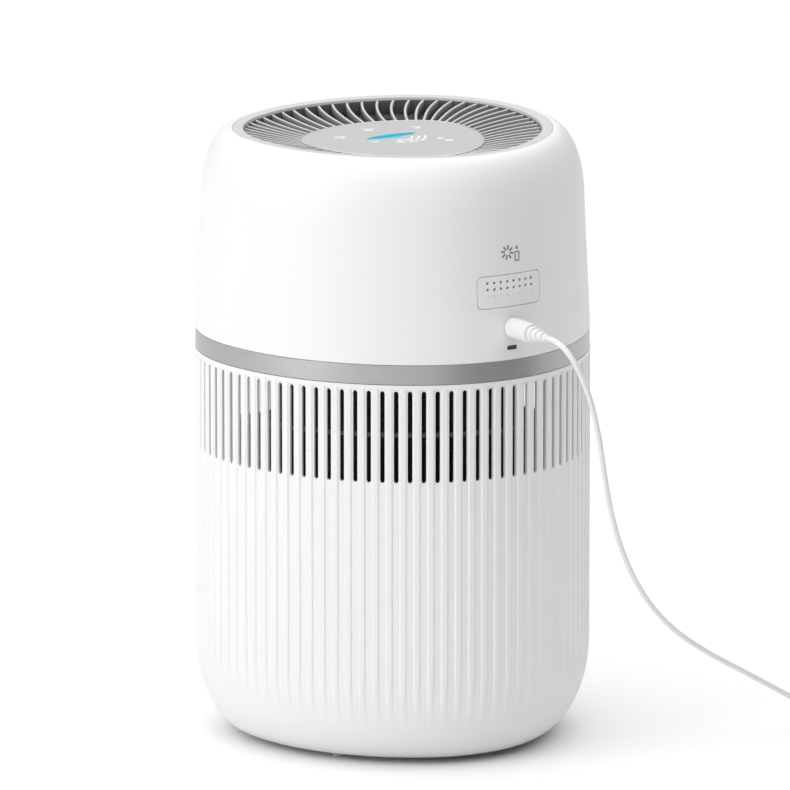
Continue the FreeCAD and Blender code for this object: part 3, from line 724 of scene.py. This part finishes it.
def control_panel(material, trim):
    """Touch disc with a softened edge, and the thin metal ring round it."""
    edge = [(DISC_INSET, Z_DISC - 2.8), (DISC_INSET, Z_DISC - 0.5),
            (DISC_INSET + 0.15, Z_DISC - 0.15), (DISC_INSET + 0.5, Z_DISC)]
    spread = [(DISC_INSET + 0.5 + step, Z_DISC) for step in (4, 12, 20, 28)]
    places = around(DISC_POINTS)
    rows = [[at(p, inset, z) for p in places] for inset, z in edge + spread]
    points, faces = rings(rows, closed=False)
    count = len(places)
    faces.append(tuple(range(len(points) - count, len(points))))
    faces.append(tuple(range(count))[::-1])
    piece = build("touch_disc", points, faces, material, "panel_grey")
    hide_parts("control_panel")
    outer, inner, low, crown = DISC_INSET - 0.5, DISC_INSET - 0.05, Z_DISC - 3.0, Z_DISC + 0.12
    section = [(outer, low), (outer, Z_DISC), (outer + 0.12, crown), (inner - 0.1, crown),
               (inner, Z_DISC), (inner, low)]
    points, faces = swept(section, DISC_POINTS)
    ring = build("touch_disc_trim", points, faces, trim, "satin_metal")
    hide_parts("panel_trim")


def light_bar(material):
    """Leaf-shaped lens from two arcs, slightly crowned."""
    half_length, half_width = LEAF_HALF
    radius = (half_length ** 2 + half_width ** 2) / (2 * half_width)
    steps = 40
    rows = []
    for grow, z in ((1.0, Z_DISC - 2.0), (1.0, Z_DISC + 0.02), (0.93, Z_DISC + 0.1),
                    (0.5, Z_DISC + 0.14), (0.02, Z_DISC + 0.15)):
        ring = []
        for i in range(2 * steps):
            k = i if i <= steps else 2 * steps - i
            x = half_length * math.cos(math.pi * k / steps)
            y = math.sqrt(radius ** 2 - x ** 2) - (radius - half_width)
            y = y if i <= steps else -y
            ring.append(Vector((LEAF_CENTRE[0] + x * grow, LEAF_CENTRE[1] + y * grow, z)))
        rows.append(ring)
    points, faces = rings(rows, closed=False)
    piece = build("light_lens", points, faces, material, "light_lens")
    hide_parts("light_bar")


def stroke(path, width, z, thick=0.12):
    """Flat line of constant width along points in XY, as a thin solid."""
    rows = []
    for i, p in enumerate(path):
        before, after = path[max(i - 1, 0)], path[min(i + 1, len(path) - 1)]
        along = (Vector(after) - Vector(before)).normalized()
        side = Vector((-along.y, along.x)) * width / 2
        base = Vector((p[0], p[1]))
        rows.append([Vector((*(base - side), z)), Vector((*(base + side), z)),
                     Vector((*(base + side), z + thick)), Vector((*(base - side), z + thick))])
    points, faces = rings(rows, closed=False)
    last = len(points) - 4
    faces += [(0, 1, 2, 3), (last + 3, last + 2, last + 1, last)]
    return points, faces


def arc_path(centre, radius, first, last, steps=16):
    """Flat points along part of a circle."""
    found = []
    for i in range(steps + 1):
        angle = math.radians(first + (last - first) * i / steps)
        found.append((centre[0] + radius * math.cos(angle),
                      centre[1] + radius * math.sin(angle)))
    return found


def touch_marks(material):
    """Generic key marks: power, timer, night, a dash, two rings, and rows of speed arcs."""
    timer = (0, -28)
    marks = [
        stroke(arc_path((24, -19), 2.5, 130, 410), 0.8, Z_DISC),
        stroke([(24, -18.5), (24, -15.6)], 0.8, Z_DISC),
        stroke(arc_path(timer, 2.5, 0, 345), 0.7, Z_DISC),
        stroke([timer, (0, -26.2)], 0.6, Z_DISC),
        stroke([timer, (1.5, -28)], 0.6, Z_DISC),
        stroke(arc_path((-24, -19), 2.3, 60, 300), 0.8, Z_DISC),
        stroke([(16.5, 0.5), (12.5, 0.5)], 0.9, Z_DISC),
        stroke(arc_path((-19, 12), 1.4, 0, 350), 0.8, Z_DISC),
        stroke(arc_path((-20.5, 18.5), 1.7, 0, 350), 0.9, Z_DISC),
    ]
    for radius in (6.5, 10.0, 13.5):
        for start in (46, 78, 110, 142):
            arc = arc_path((-3.0, -2.0), radius, start, start + 22, 6)
            marks.append(stroke(arc, 1.3, Z_DISC))
    points, faces = merge(marks)
    piece = build("touch_symbols", points, faces, material, "panel_print")
    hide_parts("touch_marks")


# ---- rear corner -----------------------------------------------------------------------
def on_skin(x, z, proud=0.03):
    """Point on the upper housing's rear corner at across x and height z."""
    radius = R_CORNER - draft(z) + proud
    return Vector((x, CORNER_SHIFT + math.sqrt(radius ** 2 - x ** 2), z))


def aroma_symbol(material):
    """Generic printed symbol: a ring of petals beside a small flask with a drop above it."""
    middle_x, middle_z = 1.6, 277.4
    shapes = []
    for i in range(8):
        angle = math.radians(45 * i + 10)
        petal = [(middle_x + r * math.cos(angle), middle_z + r * math.sin(angle))
                 for r in (1.5, 2.6, 3.9)]
        shapes.append((petal, 1.0))
    flask = [(-3.3, 272.6), (-5.8, 272.6), (-5.8, 277.2), (-3.3, 277.2), (-3.3, 272.6)]
    drop = [(-4.5, 278.6), (-4.5, 279.6), (-4.5, 280.3)]
    shapes += [(flask, 0.7), (drop, 1.3)]
    steps = 4                 # each run is divided, so that it follows the housing's curve
    parts = []
    for path, width in shapes:
        dense = []
        for a, b in zip(path, path[1:]):
            dense += [(a[0] + (b[0] - a[0]) * k / steps, a[1] + (b[1] - a[1]) * k / steps)
                      for k in range(steps)]
        dense.append(path[-1])
        points, faces = stroke(dense, width, 0.0, thick=0.06)
        parts.append(([on_skin(p.x, p.y, p.z) for p in points], faces))
    points, faces = merge(parts)
    build("aroma_symbol", points, faces, material, "panel_print")


def drawer_blank():
    """Patch of the upper housing's wall at the rear corner, larger than the drawer front."""
    first, span, steps = 76, 28, 40
    heights = range(244, 271, 2)
    centre = Vector((0, CORNER_SHIFT, 0))
    rows = []
    for i in range(steps + 1):
        angle = first + span * i / steps
        outer, inner = [[polar(R_CORNER - depth - draft(z), angle, z) + centre for z in heights]
                        for depth in (0.0, WALL)]
        rows.append(outer + inner[::-1])
    points, faces = rings(rows, closed=False)
    width = len(rows[0])
    faces += [tuple(range(width)), tuple(range(len(points) - width, len(points)))[::-1]]
    return points, faces


def drawer_dots():
    """Cutters for the dots: two rows of holes, and a third row of shallow dimples."""
    count, row_width, row_pitch, top = 8, 27.6, 3.45, Z_DRAWER + 4.9
    hole_start, hole_r, dimple_depth, dimple_r, stop = 98.0, 0.78, 0.35, 0.5, 112
    dots = []
    for r in range(3):
        for c in range(count):
            x = (c - (count - 1) / 2) * row_width / (count - 1)
            z = top - row_pitch * r
            start, radius = hole_start, hole_r
            if r == 2:
                start, radius = on_skin(x, z, -dimple_depth).y, dimple_r
            profile = [(0, start), (radius, start), (radius, stop), (0, stop)]
            dots.append(lathe(profile, 16, (x, 0, z), (0, 1, 0)))
    return dots


def aroma_drawer(material, dark):
    """Drawer front cut from the housing's own curve, its dots, and the tray behind it."""
    front = build("aroma_drawer_front", *drawer_blank(), material, "white_shell",
                  "aroma_drawer")
    bar = prism(rounded(DRAWER_SIZE[0] - 0.2, DRAWER_SIZE[1] - 0.2, 2.6), *CUT_DEPTH,
                (0, 0, Z_DRAWER), FACING)
    boolean(front, [bar], "INTERSECT")
    boolean(front, drawer_dots(), "DIFFERENCE")
    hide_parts("aroma_drawer")
    # A dark sheet just behind the holes is painted shade: it darkens what is seen through them.
    behind_holes = (103.15, 103.35)
    shade_sheet = prism(rounded(30.0, 9.4, 0.6), *behind_holes, (0, 0, Z_DRAWER + 3.1), FACING)
    build("vent_painted_shade", *shade_sheet, dark, "dark_plastic", "aroma_drawer")
    block = prism(rounded(33.0, 23.4, 1.5), Z_DRAWER - 6, Z_DRAWER + 6, (0, TRAY_Y + 0.2, 0))
    tray = build("aroma_tray", *block, material, "white_shell", "aroma_drawer")
    hollow = prism(rounded(30.0, 20.2, 1.2), Z_DRAWER - 4.5, Z_DRAWER + 8, (0, TRAY_Y, 0))
    boolean(tray, [hollow], "DIFFERENCE")


def aroma_pad(material):
    """Felt pad with soft edges and a slightly crowned top."""
    low, high = Z_DRAWER - 4.4, Z_DRAWER - 0.1
    width, length = 28.8, 19.0
    rows = []
    for shrink, z in ((1.2, low), (0.2, low + 0.8), (0.0, low + 1.8), (0.1, high - 1.4),
                      (0.8, high - 0.4), (2.2, high - 0.1), (5.0, high)):
        outline = rounded(width - 2 * shrink, length - 2 * shrink, 2.0)
        rows.append([Vector((x, TRAY_Y + y, z)) for x, y in outline])
    points, faces = rings(rows, closed=False)
    count = len(rows[0])
    faces += [tuple(range(count))[::-1], tuple(range(len(points) - count, len(points)))]
    pad = build("felt_pad", points, faces, material, "aroma_felt", "aroma_drawer")
    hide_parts("aroma_pad")


def dc_plug(material):
    """Moulded plug grip with a ringed strain relief."""
    grip_r, grip_start, grip_long, rings_start, ring_pitch = 5.4, 109.0, 15.2, 126.0, 4.0
    profile = [(0, PLUG_START), (4.6, PLUG_START), (5.25, 107.9), (grip_r, grip_start)]
    profile += [(grip_r - 0.3 * t ** 2, grip_start + grip_long * t)
                for t in (0.25, 0.5, 0.75, 0.95)]
    profile += [(4.8, 124.6), (4.2, 125.0), (2.9, 125.1), (2.8, rings_start)]
    y = rings_start
    for radius in (4.1, 3.5, 2.9):
        profile += [(radius - 0.25, y + 0.1), (radius, y + 0.5), (radius, y + 2.2),
                    (radius - 0.3, y + 2.6), (radius - 1.2, y + 2.7), (radius - 1.2, y + 3.9)]
        y += ring_pitch
    profile += [(2.1, 137.6), (2.0, 139.0), (1.7, PLUG_END), (0, PLUG_END)]
    points, faces = lathe(profile, 64, (0, 0, Z_JACK), (0, 1, 0))
    plug = build("plug_grip", points, faces, material, "white_cord", sharp=50)
    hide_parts("dc_plug")
    return plug


def coil_turns():
    """Nine turns wound three deep and three high, from the outer bottom to the outer top."""
    order = [(0, 2), (0, 1), (0, 0), (1, 0), (2, 0), (2, 1), (1, 1), (1, 2), (2, 2), (2, 2)]
    per_turn = 14
    level_part = 0.55         # of each turn, before it moves over to the next one's place
    found = []
    for (level, ring), (next_level, next_ring) in zip(order, order[1:]):
        for k in range(per_turn):
            t = k / per_turn
            ease = max(0.0, (t - level_part) / (1 - level_part))
            radius = COIL_RINGS[ring] + (COIL_RINGS[next_ring] - COIL_RINGS[ring]) * ease
            height = COIL_LEVELS[level] + (COIL_LEVELS[next_level] - COIL_LEVELS[level]) * ease
            turned = polar(radius, COIL_START + COIL_WAY * 360 * t, height)
            found.append(turned + Vector((*COIL_CENTRE, 0)))
    return found


def centreline_length(lead):
    """Length in metres of a curve that has no thickness yet."""
    bpy.context.view_layer.update()
    graph = bpy.context.evaluated_depsgraph_get()
    line = bpy.data.meshes.new_from_object(lead.evaluated_get(graph))
    ends = [[line.vertices[i].co for i in edge.vertices] for edge in line.edges]
    length = sum((a - b).length for a, b in ends)
    bpy.data.meshes.remove(line)
    return length


def power_cord(material):
    """Whole cord on one spline: route, coil turns, and the tail to the adapter."""
    points = [Vector(p) for p in ROUTE] + coil_turns() + [Vector(p) for p in TAIL]
    curve = bpy.data.curves.new("power_lead", "CURVE")
    curve.dimensions = "3D"
    spline = curve.splines.new("NURBS")
    spline.points.add(len(points) - 1)
    for control, p in zip(spline.points, points):
        control.co = (*((p + AXIS) * MM), 1.0)
        control.radius = CORD_R * MM
    spline.order_u = 3
    spline.use_endpoint_u = True
    spline.resolution_u = 6
    curve.bevel_resolution = 6
    curve.use_fill_caps = True
    curve.materials.append(material)
    lead = bpy.data.objects.new("power_lead", curve)
    bpy.context.scene.collection.objects.link(lead)
    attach(lead, "housing")
    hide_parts("power_cord", "cord_coil", "power_cord_tail")
    length = centreline_length(lead)
    curve.bevel_depth = 1.0   # times each point's radius, because the object's box counts both
    bpy.context.view_layer.update()


# ---- stage -----------------------------------------------------------------------------
def area_light(name, place, target, size, power):
    """Rectangular lamp that points at target."""
    data = bpy.data.lights.new(name, "AREA")
    data.shape = "RECTANGLE"
    data.size, data.size_y = size
    data.energy = power
    light = bpy.data.objects.new(name, data)
    light.location = place
    light.rotation_euler = (Vector(place) - Vector(target)).to_track_quat("Z", "Y").to_euler()
    bpy.context.scene.collection.objects.link(light)


def stage_sheet(name, corners, shade):
    """Matt grey four-cornered sheet that isn't part of the object."""
    mesh = bpy.data.meshes.new(name)
    mesh.from_pydata(corners, [], [(0, 1, 2, 3)])
    piece = bpy.data.objects.new(name, mesh)
    bpy.context.scene.collection.objects.link(piece)
    material, _, shader = new_material(name)
    shader.inputs["Base Color"].default_value = (shade, shade, shade, 1)
    shader.inputs["Roughness"].default_value = 0.9
    mesh.materials.append(material)
    return piece


def stage():
    """Pale floor, white surroundings, a key light on the left and a dark card on the right."""
    azimuth = math.radians(VIEW_AZIMUTH)
    towards = Vector((math.cos(azimuth), math.sin(azimuth), 0))
    right = Vector((-towards.y, towards.x, 0))
    up = Vector((0, 0, 1))
    stage_sheet("floor", [(-6, -6, 0), (6, -6, 0), (6, 6, 0), (-6, 6, 0)], 0.93)
    near = towards * 1.25 + right * 0.45
    far = right * 1.22 + towards * 0.1
    card = stage_sheet("dark_card", [near, far, far + up * 0.9, near + up * 0.9], 0.03)
    card.visible_camera = False
    world = bpy.data.worlds.new("studio")
    world.use_nodes = True
    background = world.node_tree.nodes["Background"]
    background.inputs["Color"].default_value = (1, 1, 1, 1)
    background.inputs["Strength"].default_value = 0.4
    scene = bpy.context.scene
    scene.world = world
    scene.view_settings.view_transform = "Standard"
    key_place = towards * 1.2 - right * 1.7 + up * 0.9
    area_light("key", key_place, target=(0, 0, 0.17), size=(1.2, 1.6), power=15)
    area_light("ceiling", up * 3.2, target=(0, 0, 0), size=(7.0, 7.0), power=205)


def finish_nodes(materials):
    """Every CAD node that still shows takes its slot's finish."""
    slots = {s["node"]: s["material_slot"] for s in frame["record"]["subparts"]}
    for name, item in NODES.items():
        item.data.materials.clear()
        item.data.materials.append(materials[slots[name]])


def main():
    """Camera and cord first, then the other pieces and the stage."""
    make_camera()
    materials = make_materials()
    plug = dc_plug(materials["white_cord"])
    power_cord(materials["white_cord"])
    finish_nodes(materials)
    upper_housing(materials["white_shell"])
    outlet_rim(materials["rim_painted_shade"])
    lower_housing(materials["white_shell"])
    trim_band(materials["satin_metal"])
    outlet_grille(materials["vane_painted_shade"], materials["collar_grey"], materials["rim_painted_shade"])
    control_panel(materials["panel_grey"], materials["bright_metal"])
    light_bar(materials["light_lens"])
    touch_marks(materials["panel_print"])
    aroma_symbol(materials["symbol_print"])
    aroma_drawer(materials["white_shell"], materials["dark_plastic"])
    aroma_pad(materials["aroma_felt"])
    stage()


main()
